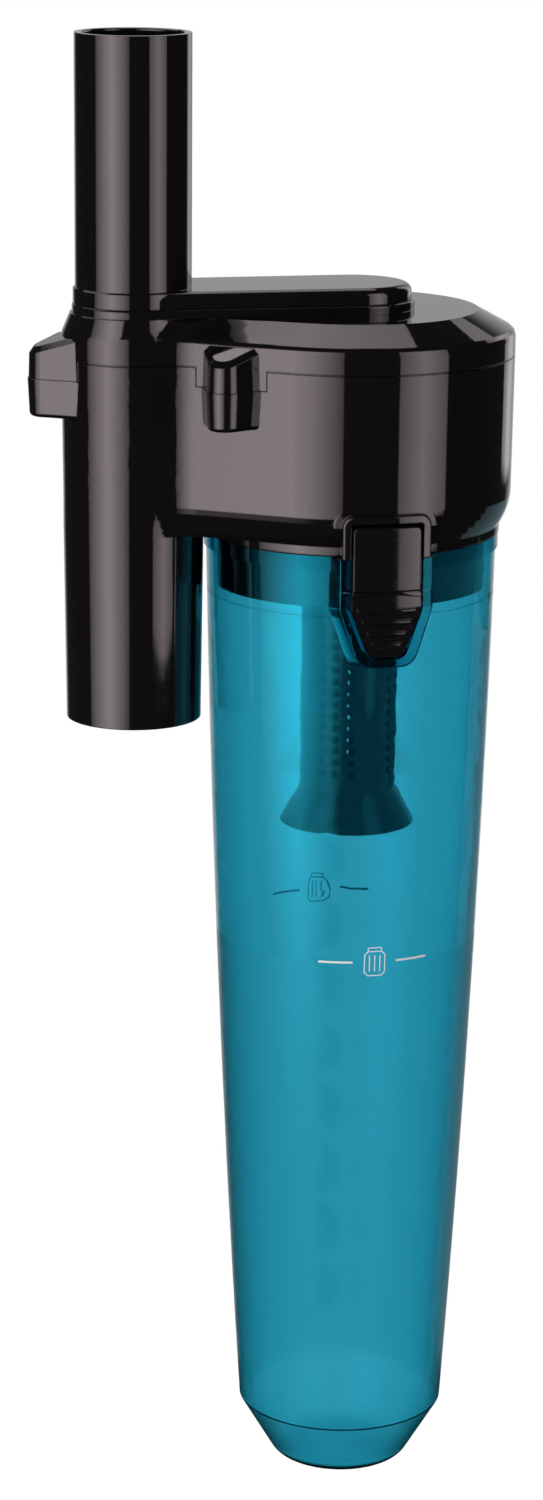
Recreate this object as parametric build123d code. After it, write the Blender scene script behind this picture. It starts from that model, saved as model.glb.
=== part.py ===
from build123d import *
import os
from math import cos, hypot, radians, sin, sqrt, tan

# Cyclone pre-separator for a stick vacuum cleaner. All sizes are in millimetres.
# The origin is on the outlet spigot's axis, half way between its mouth and the duct.
# +Z runs up the spigot, +X runs from the spigot's axis to the cup's axis, and -Y is the front.

# Layout
AXIS_GAP = 0.65          # between the inlet tube's widest part and the cup's rim
SIDE_WALL_TURN = 33.0    # degrees from the front to the outward normal of the flat side walls
INNER_CORNER_R = 16.0    # concave corner between a side wall and the inlet tube

# Outlet hood: spigot and flat duct
SPIGOT_HEIGHT = 75.5     # cover roof to spigot mouth
SPIGOT_STEP_IN = 3.85    # inlet tube's face to the spigot's
SPIGOT_WALL = 2.0
SPIGOT_LIP_R = 0.6
ROOT_PROUD = 0.6         # spigot's foot, round it and as high as the duct
ROOT_EDGE = 0.4
DUCT_HEIGHT = 7.0        # cover roof to duct top
DUCT_EDGE_R = 2.4

# Cover
COVER_HEIGHT = 12.1      # roof to parting line
COVER_WALL = 2.6
DRUM_BEVEL = 10.5        # width of the roof's bevel round the drum
TUBE_BEVEL = 2.4         # width of the roof's bevel round the inlet tube
ROOF_WALL_TURN = 28.0    # degrees, as for the side walls
ROOF_CORNER_R = 22.0
BEVEL_HEIGHT = 5.7
PLINTH_HEIGHT = 2.5      # raised seat of the hood
PLINTH_LEDGE = 0.9       # ledge left outside the hood
PLINTH_EDGE_R = 0.6
BEVEL_ROUND = 1.5        # length of wall, and of bevel, taken by the round between them
ROUND_MID_IN = 0.25      # middle of that round, as a share of its reach inwards
ROUND_MID_DOWN = 0.14    # and of its reach down the wall
TROUGH_DEPTH = 10.0      # sunken duct floor below the roof
TROUGH_WALL = 1.5
EXHAUST_R = 10.5         # hole in the duct floor, and bore of the screen's collar
COLLAR_WALL = 1.5
SCREEN_OVERLAP = 12.0    # length of collar inside the screen

# Housing
DRUM_R = 45.0            # at the parting line
TUBE_R = 19.85           # inlet tube at the parting line
DRUM_DRAFT = 0.4         # radius lost down to the lower edge
HOUSING_WALL = 3.0
DRUM_HEIGHT = 37.6       # parting line to the start of the lower edge
EDGE_HEIGHT = 9.8        # rounded lower edge
EDGE_INSET = 3.0
EDGE_STEPS = 6           # sections of that edge
NECK_HEIGHT = 2.4        # lower edge to the cup
NECK_INSET = 0.1
PARTING_LINE = 0.35      # groove under the cover's edge
FLOOR_THICKNESS = 3.0    # floor of the inlet chamber
CHANNEL_WIDTH = 16.0     # inlet channel along the front side wall
GUIDE_WALL = 2.4         # between the channel and the cored-out rear wedge
SKIRT_GAP = 1.05         # cup's wall to the ring that reaches into it
SKIRT_WALL = 2.2
SKIRT_DEPTH = 15.0       # below the neck
THROAT_HEIGHT = 13.0     # cone from the drum down to the skirt
SOCKET_LENGTH = 101.5    # parting line to the socket's mouth
SOCKET_TAPER = 1.05      # radius lost from the parting line to the socket's mouth
SOCKET_WALL = 2.5
SOCKET_DEPTH = 42.0
SOCKET_LEAD_IN = 0.8
SOCKET_SHOULDER = 1.8    # stop for the wand at the top of the socket

# Seals
GASKET_INSET = 1.5       # from the housing's outer face
GASKET_WIDTH = 0.9
GASKET_DEPTH = 1.0
CUP_SEAL_HEIGHT = 1.6
CUP_SEAL_WIDTH = 1.9
CUP_SEAL_INSET = 0.7     # outside the skirt
FILTER_SEAL_HEIGHT = 1.4
SEAL_CLEARANCE = 0.05

# Screw bosses
BOSS_NOSE_R = 5.0        # round front
BOSS_NOSE_OUT = 4.2      # axis of that front, and of the screw, out of the wall
BOSS_SIDE_TURN = 30.0    # degrees that each side leans in
BOSS_ROOT = 3.0          # sunk in the wall
BOSS_TOP = 6.2           # its highest point below the roof
BOSS_SLOPE = 3.2         # fall of its sloped top
BOSS_FACET = 1.4         # chamfer round its sloped top
BOSS_PARTING = 5.4       # its own parting line below the cover's
BOSS_LENGTH = 10.6       # housing half
BOSS_EDGE_R = 1.2
BOSS_STEP = 0.3          # housing half stands out by this much
BOSS_TOP_TAPER = 1.5     # degrees, cover half
BOSS_FOOT_TAPER = 3.0    # degrees, housing half
TAB_MARGIN = 2.0         # cover tab on each side of a boss
TAB_DEPTH = 1.2
TAB_CLEARANCE = 0.15
FRONT_BOSS_RUN = 18.3    # along the side wall, from the drum's tangent point
SCREW_R = 1.5
SCREW_HEAD_R = 2.7
SCREW_HEAD_HEIGHT = 2.0
SCREW_LENGTH = 12.5
SCREW_SEAT = 5.0         # housing boss thickness under the head
SCREW_CLEARANCE = 0.2
THREAD_CLEARANCE = 0.03
SCREW_TIP_GAP = 0.8

# Dust cup
CUP_HEIGHT = 279.5
CUP_STEP_IN = 3.7        # drum's face to the cup's rim
CUP_RIM_HEIGHT = 4.0
CUP_RING_DROP = 16.7     # fine ring line below the rim
CUP_RING = 0.3           # width and depth of that line
CUP_RIM_PROUD = 0.65
CUP_BULGE = 1.4          # the side's bow out of a straight taper
CUP_TAPER = 10.95        # radius lost from the rim to the foot
CUP_FOOT_HEIGHT = 18.0   # slope round the base
CUP_FOOT_STEP_IN = 10.7  # radius lost in that slope
CUP_BASE_EDGE_R = 5.0
CUP_WALL = 2.0
CUP_FLOOR = 2.2

# Latches
LATCH_PROUD = 1.0        # plate's face outside the drum's
LATCH_THICKNESS = 2.6
LATCH_WIDTH = 19.4
LATCH_RISE = 9.0         # top edge above the rim
LATCH_STEP = 9.0         # pivot and step below the rim
GRIP_LENGTH = 18.0
GRIP_LEAN = 1.0
GRIP_SETBACK = 1.0       # top of the grip behind the plate's face
SCOOP_HEIGHT = 4.2       # sloped top of the grip
SCOOP_RISE = 0.8
LATCH_EDGE = 0.5         # chamfer round the plate's face
GRIP_END_WIDTH = 9.4
GRIP_STRAIGHT = 5.0
LATCH_CORNER_R = 1.6
GRIP_CORNER_R = 2.4
RIB_COUNT = 4
RIB_PITCH = 3.2
RIB_START = 5.2          # first rib below the pivot
RIB_R = 0.7
RIB_SINK = 0.25          # its axis behind the grip's face
RIB_MARGIN = 1.6         # its ends inside the grip's outline
BARREL_R = 1.9
PIN_R = 1.0
PIN_CLEARANCE = 0.05
PIN_INSET = 0.2
PIVOT_BEHIND_FACE = 2.6
HOOK_WIDTH = 12.0
HOOK_HEIGHT = 2.2
HOOK_REACH = 1.5         # inward from the latch's back
HOOK_BITE = 0.9
HOOK_CLEARANCE = 0.2
CATCH_HEIGHT = 2.0
CATCH_DROP = 4.5         # latch top to catch top

# Latch pockets on the cup and catch frames on the housing
POCKET_WALL = 2.4
POCKET_CLEARANCE = 0.4
POCKET_DRAFT = 14.0      # degrees that its outside spreads to the cup
FRAME_WALL = 2.2
FRAME_EDGE_R = 0.7       # rounds of the frames, pockets and ledges
FRAME_PROUD = 1.4        # frame's face outside the drum's
FRAME_TOP_GAP = 1.0
FRAME_CORNER_R = 3.2
BROW_MARGIN = 2.2        # ledge over a frame, outside it
BROW_HEIGHT = 6.0
BROW_INSET = 0.4         # its face inside the drum's
RECESS_INSET = 0.1       # flat seat behind a latch, inside the cup's rim

# Latch springs
SPRING_DROP = 10.0       # below the pivot
SPRING_R = 1.75
SPRING_WIRE = 0.5
SPRING_TURNS = 3
WIRE_SIDES = 4
SPRING_SEAT_DEPTH = 0.9
SPRING_CLEARANCE = 0.15

# Screen and its cone
SCREEN_WALL = 1.3
COLLAR_CLEARANCE = 0.3   # inside the screen's upper end
SCREEN_CLEARANCE = 0.15
SCREEN_FOOT = 74.3       # lower end below the cup's rim
HOLE_R = 1.15
HOLE_SIDES = 8
HOLE_ROWS = 15
HOLE_ROW_PITCH = 3.35
HOLE_COLUMNS = 3         # in each panel
HOLE_COLUMN_TURN = 18.6  # degrees
HOLE_PANELS = 4
HOLE_TURN = -28.0        # degrees from the front to the first panel
HOLE_MARGIN = 6.0        # lowest row above the screen's lower end
CONE_FLARE = 5.6         # its edge outside the screen
CONE_HEIGHT = 10.2
CONE_WALL = 1.5
PLUG_HEIGHT = 5.0

# Running gaps between the cup and the housing
CUP_GAP = 0.3

# Radii
spigot_r = TUBE_R - SPIGOT_STEP_IN
bore_r = spigot_r - SPIGOT_WALL
drum_in_r = DRUM_R - HOUSING_WALL
tube_in_r = TUBE_R - HOUSING_WALL
lower_tube_r = TUBE_R - DRUM_DRAFT
socket_end_r = TUBE_R - SOCKET_TAPER
socket_bore_r = socket_end_r - SOCKET_WALL
passage_r = socket_bore_r - SOCKET_SHOULDER
neck_r = DRUM_R - DRUM_DRAFT - EDGE_INSET
cup_rim_r = DRUM_R - CUP_STEP_IN
cup_top_r = cup_rim_r - CUP_RIM_PROUD
cup_foot_r = cup_top_r - CUP_TAPER
cup_base_r = cup_foot_r - CUP_FOOT_STEP_IN
skirt_r = cup_top_r - CUP_WALL - SKIRT_GAP
skirt_in_r = skirt_r - SKIRT_WALL
collar_r = EXHAUST_R + COLLAR_WALL
screen_r = collar_r + COLLAR_CLEARANCE + SCREEN_WALL
cone_r = screen_r + CONE_FLARE
axis_spacing = cup_rim_r + TUBE_R + AXIS_GAP

# Levels
mouth_z = (SPIGOT_HEIGHT - DUCT_HEIGHT) / 2
roof_z = mouth_z - SPIGOT_HEIGHT
plinth_z = roof_z + PLINTH_HEIGHT
duct_z = roof_z + DUCT_HEIGHT
bevel_z = roof_z - BEVEL_HEIGHT
parting_z = roof_z - COVER_HEIGHT
trough_z = roof_z - TROUGH_DEPTH
edge_z = parting_z - DRUM_HEIGHT
shelf_z = edge_z - EDGE_HEIGHT
neck_z = shelf_z - NECK_HEIGHT
rim_z = neck_z - CUP_GAP
base_z = rim_z - CUP_HEIGHT
socket_z = parting_z - SOCKET_LENGTH
chamber_z = shelf_z + FLOOR_THICKNESS
channel_z = chamber_z + THROAT_HEIGHT
skirt_z = neck_z - SKIRT_DEPTH
boss_parting_z = parting_z - BOSS_PARTING
boss_top_z = roof_z - BOSS_TOP
boss_foot_z = boss_parting_z - BOSS_LENGTH
screw_seat_z = boss_parting_z - SCREW_SEAT
screw_tip_z = screw_seat_z + SCREW_LENGTH
latch_top_z = rim_z + LATCH_RISE
pivot_z = rim_z - LATCH_STEP
grip_end_z = pivot_z - GRIP_LENGTH
catch_z = latch_top_z - CATCH_DROP
spring_z = pivot_z - SPRING_DROP
screen_foot_z = rim_z - SCREEN_FOOT
screen_top_z = trough_z - TROUGH_WALL - FILTER_SEAL_HEIGHT
rim_foot_z = rim_z - CUP_RIM_HEIGHT
foot_z = base_z + CUP_FOOT_HEIGHT

# Reach of the latches and their frames from the cup's axis
latch_face = DRUM_R + LATCH_PROUD
latch_back = latch_face - LATCH_THICKNESS
frame_face = DRUM_R + FRAME_PROUD
recess_floor = cup_rim_r - RECESS_INSET
pivot_reach = latch_face - PIVOT_BEHIND_FACE
spring_seat = latch_back - GRIP_LEAN * SPRING_DROP / GRIP_LENGTH + SPRING_SEAT_DEPTH
pocket_half = LATCH_WIDTH / 2 + POCKET_CLEARANCE
frame_half = pocket_half + FRAME_WALL
brow_face = DRUM_R - BROW_INSET
frame_top_z = latch_top_z + FRAME_TOP_GAP + FRAME_WALL
ring_z = rim_z - CUP_RING_DROP

# Plan of a boss
side_turn = radians(BOSS_SIDE_TURN)
boss_half = (BOSS_NOSE_R + BOSS_NOSE_OUT * sin(side_turn)) / cos(side_turn)
boss_reach = BOSS_NOSE_OUT + BOSS_NOSE_R

# Plan directions
wall_normal = Vector(-sin(radians(SIDE_WALL_TURN)), -cos(radians(SIDE_WALL_TURN)))
wall_run = Vector(-cos(radians(SIDE_WALL_TURN)), sin(radians(SIDE_WALL_TURN)))
cup_axis = Vector(axis_spacing, 0)

ON_BASE = (Align.CENTER, Align.CENTER, Align.MIN)
LATCH_TURNS = (0, 180)   # degrees about the cup's axis, front and rear


def mirrored(point):
    """The same point on the other side of the plane through both axes."""
    return Vector(point.X, -point.Y)


def keyhole(drum_r, tube_r, corner_r, z, turn=SIDE_WALL_TURN):
    """Plan of the cover and housing: a drum and a tube joined by two flat side walls."""
    normal = Vector(-sin(radians(turn)), -cos(radians(turn)))
    run = Vector(normal.Y, -normal.X)
    wall_offset = drum_r + normal.dot(cup_axis)
    along = -sqrt((tube_r + corner_r) ** 2 - (wall_offset + corner_r) ** 2)
    corner_centre = normal * (wall_offset + corner_r) + run * along
    tube_touch = corner_centre * (tube_r / (tube_r + corner_r))
    wall_touch = corner_centre - normal * corner_r
    corner_mid = corner_centre - (corner_centre.normalized() + normal).normalized() * corner_r
    drum_touch = cup_axis + normal * drum_r
    drum_far = cup_axis + Vector(drum_r, 0)
    outline = Curve() + [
        ThreePointArc(mirrored(tube_touch), Vector(-tube_r, 0), tube_touch),
        ThreePointArc(tube_touch, corner_mid, wall_touch),
        Line(wall_touch, drum_touch),
        ThreePointArc(drum_touch, drum_far, mirrored(drum_touch)),
        Line(mirrored(drum_touch), mirrored(wall_touch)),
        ThreePointArc(mirrored(wall_touch), mirrored(corner_mid), mirrored(tube_touch)),
    ]
    return Pos(0, 0, z) * make_face(outline)


def inset_keyhole(inset, z):
    """Plan of the housing at the parting line, drawn in by a wall."""
    return keyhole(DRUM_R - inset, TUBE_R - inset, INNER_CORNER_R + inset, z)


def keyhole_band(outer_inset, inner_inset, low, high):
    """Upright strip that follows the plan between two insets."""
    band = prism(inset_keyhole(outer_inset, low), high - low)
    return band - prism(inset_keyhole(inner_inset, low), high - low)


def prism(face, height):
    return extrude(face, amount=height, dir=(0, 0, 1))


def column(x, radius, low, high):
    """Round bar parallel to Z on the X axis."""
    return Pos(x, 0, low) * Cylinder(radius, high - low, align=ON_BASE)


def ring(inner, outer, low, high):
    """Flat-sided ring about the cup's axis."""
    return column(axis_spacing, outer, low, high) - column(axis_spacing, inner, low, high)


def turned(points):
    """Solid of revolution about the cup's axis, from (radius, z) points."""
    profile = make_face(Polyline(*points, close=True))
    return Pos(axis_spacing, 0, 0) * revolve(Plane.XZ * profile, Axis.Z)


def stadium(half_width, low, high):
    """Bar with round ends, from the spigot's axis to the cup's axis."""
    plan = SlotCenterToCenter(axis_spacing, 2 * half_width)
    return Pos(axis_spacing / 2, 0, low) * prism(plan, high - low)


def about_cup(shape, turn):
    """The same piece turned about the cup's axis."""
    return shape.rotate(Axis((axis_spacing, 0, 0), (0, 0, 1)), turn)


def boss_places():
    """Frames of the screw bosses: X along the wall, Y out of it, origin on the wall's face."""
    side = cup_axis + wall_normal * DRUM_R + wall_run * FRONT_BOSS_RUN
    end = Vector(-TUBE_R, 0)
    places = [(end, Vector(-1, 0)), (side, wall_normal), (mirrored(side), mirrored(wall_normal))]
    frames = []
    for point, normal in places:
        frames.append(Location(Plane(point, x_dir=(normal.Y, -normal.X), z_dir=(0, 0, 1))))
    return frames


def boss_plan(margin):
    """Plan of a boss: a round nose and two flat sides that spread to the wall, sunk in it a little."""
    nose_r = BOSS_NOSE_R + margin
    touch = Vector(nose_r * cos(side_turn), BOSS_NOSE_OUT + nose_r * sin(side_turn))
    root = Vector(touch.X + (touch.Y + BOSS_ROOT) * tan(side_turn), -BOSS_ROOT)
    far_touch = Vector(-touch.X, touch.Y)
    far_root = Vector(-root.X, root.Y)
    outline = Curve() + [
        Line(root, touch),
        ThreePointArc(touch, (0, BOSS_NOSE_OUT + nose_r), far_touch),
        Polyline(far_touch, far_root, root),
    ]
    return Pos(0, 0, boss_parting_z) * make_face(outline)


def cover_boss():
    """Upper half of a boss, with a sloped top."""
    block = extrude(boss_plan(0), amount=boss_top_z - boss_parting_z, taper=BOSS_TOP_TAPER)
    slope = Plane((0, 0, boss_top_z), x_dir=(1, 0, 0), z_dir=(0, BOSS_SLOPE, boss_reach))
    block = split(block, slope, keep=Keep.BOTTOM)
    top_edges = block.faces().filter_by(slope)[0].edges()
    return chamfer(top_edges.filter_by_position(Axis.Y, BOSS_FACET, boss_reach), BOSS_FACET)


def housing_boss():
    """Lower half of a boss, tapered to a rounded foot."""
    block = extrude(boss_plan(BOSS_STEP), amount=-BOSS_LENGTH, taper=BOSS_FOOT_TAPER)
    return fillet(block.faces().sort_by(Axis.Z)[0].edges(), BOSS_EDGE_R)


def outside_wall(block):
    """What of a placed boss lies outside the inner half of the wall."""
    return block - prism(inset_keyhole(TAB_DEPTH, boss_foot_z), roof_z - boss_foot_z)


def screw_bar(radius, low, high):
    """Round bar on a boss's screw axis."""
    return Pos(0, BOSS_NOSE_OUT, low) * Cylinder(radius, high - low, align=ON_BASE)


def boss_tab(clearance):
    """Strip of the cover's wall that steps down round each boss."""
    low = boss_parting_z - clearance
    band = keyhole_band(-clearance, TAB_DEPTH + clearance, low, parting_z)
    half = boss_half + TAB_MARGIN + clearance
    block = Pos(0, 0, low) * Box(2 * half, 2 * boss_reach, parting_z - low, align=ON_BASE)
    return [band & (place * block) for place in boss_places()]


def make_outlet_hood():
    """Spigot and flat duct, open underneath."""
    duct = stadium(spigot_r, plinth_z, duct_z)
    duct = fillet(duct.faces().sort_by(Axis.Z)[-1].edges(), DUCT_EDGE_R)
    root = column(0, spigot_r + ROOT_PROUD, plinth_z, duct_z)
    root = chamfer(root.faces().sort_by(Axis.Z)[-1].edges(), ROOT_EDGE)
    hood = duct + root + column(0, spigot_r, plinth_z, mouth_z)
    hood -= stadium(bore_r, plinth_z, duct_z - SPIGOT_WALL)
    hood -= column(0, bore_r, plinth_z, mouth_z)
    return fillet(hood.faces().sort_by(Axis.Z)[-1].inner_wires()[0].edges(), SPIGOT_LIP_R)


def cover_plan(share, inset, z):
    """Plan of the cover between its wall, at share 0, and its roof, at share 1, drawn in by a wall."""
    drum_r = DRUM_R - DRUM_BEVEL * share - inset
    tube_r = TUBE_R - TUBE_BEVEL * share - inset
    corner_r = INNER_CORNER_R + (ROOF_CORNER_R - INNER_CORNER_R) * share + inset
    turn = SIDE_WALL_TURN + (ROOF_WALL_TURN - SIDE_WALL_TURN) * share
    return keyhole(drum_r, tube_r, corner_r, z, turn)


def cover_shell():
    """Bevelled roof and short wall, hollow underneath."""
    rise = BEVEL_ROUND / hypot(DRUM_BEVEL, BEVEL_HEIGHT)
    shell = loft([
        cover_plan(0, 0, parting_z),
        cover_plan(0, 0, bevel_z - BEVEL_ROUND),
        cover_plan(rise * ROUND_MID_IN, 0, bevel_z - BEVEL_ROUND * ROUND_MID_DOWN),
        cover_plan(rise, 0, bevel_z + BEVEL_HEIGHT * rise),
        cover_plan(1, 0, roof_z),
    ], ruled=True)
    brim_z = bevel_z - COVER_WALL / 2
    return shell - loft([
        cover_plan(0, COVER_WALL, parting_z),
        cover_plan(0, COVER_WALL, brim_z),
        cover_plan(1, COVER_WALL, roof_z - COVER_WALL),
    ], ruled=True)


def make_cover():
    """Cover with the duct's sunken floor, the screen's collar, the hood's plinth and the boss tops."""
    trough_foot_z = trough_z - TROUGH_WALL
    plinth = stadium(spigot_r + PLINTH_LEDGE, roof_z, plinth_z)
    plinth = fillet(plinth.faces().sort_by(Axis.Z)[-1].edges(), PLINTH_EDGE_R)
    cover = cover_shell() + plinth + stadium(bore_r + TROUGH_WALL, trough_foot_z, roof_z)
    cover += column(axis_spacing, collar_r, trough_foot_z - SCREEN_OVERLAP, trough_z)
    cover += boss_tab(0)
    for place in boss_places():
        cover += outside_wall(place * cover_boss())
        cover -= place * screw_bar(SCREW_R + THREAD_CLEARANCE, boss_parting_z, screw_tip_z + SCREW_TIP_GAP)
    cover -= stadium(bore_r, trough_z, plinth_z)
    return cover - column(axis_spacing, EXHAUST_R, trough_foot_z - SCREEN_OVERLAP, trough_z)


def housing_outside():
    """Drum, side walls, inlet tube, neck and the skirt that reaches into the cup."""
    sections = [inset_keyhole(0, parting_z)]
    for step in range(EDGE_STEPS + 1):
        share = step / EDGE_STEPS
        drum_r = DRUM_R - DRUM_DRAFT - EDGE_INSET * share ** 2
        sections.append(keyhole(drum_r, lower_tube_r, INNER_CORNER_R, edge_z - EDGE_HEIGHT * share))
    outside = loft(sections, ruled=True)
    tube = make_face(Polyline(
        (0, shelf_z), (lower_tube_r, shelf_z), (socket_end_r, socket_z), (0, socket_z), close=True
    ))
    outside += revolve(Plane.XZ * tube, Axis.Z)
    return outside + turned([
        (skirt_in_r, shelf_z), (neck_r, shelf_z), (neck_r - NECK_INSET, neck_z),
        (skirt_r, neck_z), (skirt_r, skirt_z), (skirt_in_r, skirt_z),
    ])


def inlet_strip(width):
    """Plan of a strip along the inside of the front side wall, from the inlet tube to the drum."""
    outer = DRUM_R - HOUSING_WALL + wall_normal.dot(cup_axis)
    run = wall_run * cup_axis.dot(wall_run)
    near = wall_normal * outer
    far = wall_normal * (outer - width)
    return make_face(Polyline(near + run, near, far, far + run, close=True))


def housing_air_path():
    """Swirl drum and its throat, inlet chamber, inlet channel and wand socket."""
    path = turned([
        (0, parting_z), (drum_in_r, parting_z), (drum_in_r, channel_z),
        (skirt_in_r, chamber_z), (skirt_in_r, skirt_z), (0, skirt_z),
    ])
    path += column(0, tube_in_r, chamber_z, parting_z)
    path += column(0, passage_r, socket_z, chamber_z)
    path += column(0, socket_bore_r, socket_z, socket_z + SOCKET_DEPTH)
    lead_in = Cone(socket_bore_r + SOCKET_LEAD_IN, socket_bore_r, SOCKET_LEAD_IN, align=ON_BASE)
    path += Pos(0, 0, socket_z) * lead_in
    return path + Pos(0, 0, channel_z) * prism(inlet_strip(CHANNEL_WIDTH), parting_z - channel_z)


def housing_core():
    """Cored-out wedge behind the inlet channel, open at the parting line."""
    height = parting_z - channel_z
    core = prism(inset_keyhole(HOUSING_WALL, channel_z), height)
    core -= Pos(0, 0, channel_z) * prism(inlet_strip(CHANNEL_WIDTH + GUIDE_WALL), height)
    core -= column(axis_spacing, drum_in_r + GUIDE_WALL, channel_z, parting_z)
    return core - column(0, tube_in_r + GUIDE_WALL, channel_z, parting_z)


def make_housing():
    housing = housing_outside()
    for turn in LATCH_TURNS:
        housing += about_cup(catch_frame(), turn)
    for place in boss_places():
        housing += outside_wall(place * housing_boss())
    housing -= boss_tab(TAB_CLEARANCE)
    housing -= keyhole_band(-PARTING_LINE, PARTING_LINE, parting_z - PARTING_LINE, parting_z)
    for turn in LATCH_TURNS:
        housing -= about_cup(latch_recess(), turn)
    housing -= make_cup_seal(SEAL_CLEARANCE)
    housing -= make_cover_gasket(SEAL_CLEARANCE)
    for place in boss_places():
        housing -= place * screw_bar(SCREW_R + SCREW_CLEARANCE, screw_seat_z, boss_parting_z)
        housing -= place * screw_bar(SCREW_HEAD_R + SCREW_CLEARANCE, boss_foot_z, screw_seat_z)
    return housing - housing_air_path() - housing_core()


def upright_panel(half_width, low, high, near, far, corner_r):
    """Block across the front of the cup, with its two top corners rounded."""
    block = Box(2 * half_width, far - near, high - low, align=ON_BASE)
    block = Pos(axis_spacing, -(near + far) / 2, low) * block
    top_corners = block.edges().filter_by(Axis.Y).sort_by(Axis.Z)[-2:]
    return fillet(top_corners, corner_r)


def rounded_front(block, reach, low, high, seam_z):
    """A block cut to a cylinder about the cup's axis, with that face's edges rounded but for a seam."""
    block &= column(axis_spacing, reach, low, high)
    edges = block.faces().filter_by(GeomType.CYLINDER).sort_by(Axis.Y)[0].edges()
    return fillet(edges - edges.filter_by_position(Axis.Z, seam_z, seam_z), FRAME_EDGE_R)


def catch_frame():
    """Raised frame over the front latch, before its recess is cut, and the ledge over it."""
    frame = upright_panel(frame_half, neck_z, frame_top_z, recess_floor, frame_face, FRAME_CORNER_R)
    frame = rounded_front(frame, frame_face, neck_z, frame_top_z, neck_z)
    high = frame_top_z + BROW_MARGIN
    low = high - BROW_HEIGHT
    brow_r = FRAME_CORNER_R + BROW_MARGIN
    brow = upright_panel(frame_half + BROW_MARGIN, low, high, recess_floor, brow_face, brow_r)
    return frame + rounded_front(brow, brow_face, low, high, low)


def latch_recess():
    """Room for the front latch's top, with the catch for its hook left standing."""
    top = frame_top_z - FRAME_WALL
    corner_r = FRAME_CORNER_R - FRAME_WALL
    recess = upright_panel(pocket_half, neck_z, top, recess_floor, frame_face, corner_r)
    catch_face = latch_back - HOOK_REACH + HOOK_BITE
    catch_reach = catch_face - recess_floor
    catch = Box(HOOK_WIDTH, catch_reach, CATCH_HEIGHT, align=(Align.CENTER, Align.MAX, Align.MAX))
    return recess - Pos(axis_spacing, -recess_floor, catch_z) * catch


def cup_form(inset, floor_z):
    """The cup's outer form below its rim, or its hollow when drawn in by a wall."""
    base = Vector(cup_base_r - inset / 2, floor_z)
    foot = Vector(cup_foot_r - inset, foot_z)
    top = Vector(cup_top_r - inset, rim_foot_z)
    middle = (foot + top) / 2 + Vector(CUP_BULGE, 0)
    mouth = Vector(cup_top_r - inset, rim_z)
    outline = Curve() + [
        Polyline((0, rim_z), (0, floor_z), base, foot),
        ThreePointArc(foot, middle, top),
        Polyline(top, mouth, (0, rim_z)),
    ]
    form = revolve(Plane.XZ * make_face(outline), Axis.Z)
    base_edge = form.edges().filter_by(GeomType.CIRCLE).sort_by(Axis.Z)[0]
    return Pos(axis_spacing, 0, 0) * fillet(base_edge, CUP_BASE_EDGE_R - inset)


def cup_radius(z):
    """Outer radius of the cup's bowed side at a level."""
    half_chord = sqrt((cup_top_r - cup_foot_r) ** 2 + (rim_foot_z - foot_z) ** 2) / 2
    share = (z - foot_z) / (rim_foot_z - foot_z)
    straight = cup_foot_r + share * (cup_top_r - cup_foot_r)
    bow_r = (half_chord ** 2 + CUP_BULGE ** 2) / (2 * CUP_BULGE)
    off_middle = abs(2 * share - 1) * half_chord
    return straight + sqrt(bow_r ** 2 - off_middle ** 2) - bow_r + CUP_BULGE


def make_dust_cup():
    cup = cup_form(0, base_z) + column(axis_spacing, cup_rim_r, rim_foot_z, rim_z)
    ring_r = cup_radius(ring_z)
    cup -= ring(ring_r - CUP_RING, ring_r + CUP_RING, ring_z - CUP_RING, ring_z)
    for turn in LATCH_TURNS:
        cup += about_cup(latch_pocket(), turn)
    cup -= cup_form(CUP_WALL, base_z + CUP_FLOOR)
    for turn in LATCH_TURNS:
        cup -= about_cup(pin_bar(PIN_R, pocket_half + POCKET_WALL), turn)
    return cup


def grip_outline(margin, top):
    """The front latch's outline: straight sides that narrow to a rounded end."""
    half = LATCH_WIDTH / 2 + margin
    end_half = GRIP_END_WIDTH / 2 + margin
    shoulder = pivot_z - GRIP_STRAIGHT
    end = grip_end_z - margin
    face = make_face(Polyline(
        (-half, top), (half, top), (half, shoulder),
        (end_half, end), (-end_half, end), (-half, shoulder), close=True
    ))
    return fillet(face.vertices().sort_by(Axis.Y)[:2], GRIP_CORNER_R + margin)


def grip_panel(margin, top, near, draft):
    """Block with the front latch's outline at its front, spreading towards the cup by a draft."""
    front = Pos(axis_spacing, 0, 0) * Plane.XZ.offset(latch_face) * grip_outline(margin, top)
    return extrude(front, amount=near - latch_face, taper=-draft)


def latch_pocket():
    """Lip round the lower part of the front latch, standing out of the cup's side."""
    lip = grip_panel(POCKET_CLEARANCE + POCKET_WALL, rim_z, cup_foot_r, POCKET_DRAFT)
    lip = rounded_front(lip, latch_face, lip.bounding_box().min.Z, rim_z, rim_z)
    return lip - grip_panel(POCKET_CLEARANCE, rim_z, cup_foot_r, 0)


def pin_bar(radius, half_length):
    """Bar on the front latch's hinge line."""
    return Pos(axis_spacing, -pivot_reach, pivot_z) * Rot(0, 90, 0) * Cylinder(radius, 2 * half_length)


def latch_front():
    """Solid behind the front latch's face: plate, scoop and ribbed grip, turned about the cup's axis."""
    scoop_top = latch_face - GRIP_SETBACK
    scoop_foot = scoop_top + SCOOP_RISE
    scoop_z = pivot_z - SCOOP_HEIGHT
    grip_end = latch_face - GRIP_LEAN
    front = turned([
        (0, latch_top_z), (latch_face, latch_top_z), (latch_face, pivot_z), (scoop_top, pivot_z),
        (scoop_foot, scoop_z), (grip_end, grip_end_z), (0, grip_end_z),
    ])
    ribs = []
    for rib in range(RIB_COUNT):
        z = pivot_z - RIB_START - rib * RIB_PITCH
        reach = grip_end + (scoop_foot - grip_end) * (z - grip_end_z) / (scoop_z - grip_end_z)
        torus = Torus(reach - RIB_SINK, RIB_R)
        ribs.append(Pos(axis_spacing, 0, z) * torus & grip_panel(-RIB_MARGIN, pivot_z, latch_back, 0))
    return (front & grip_panel(0, latch_top_z, 0, 0)) + ribs


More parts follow.
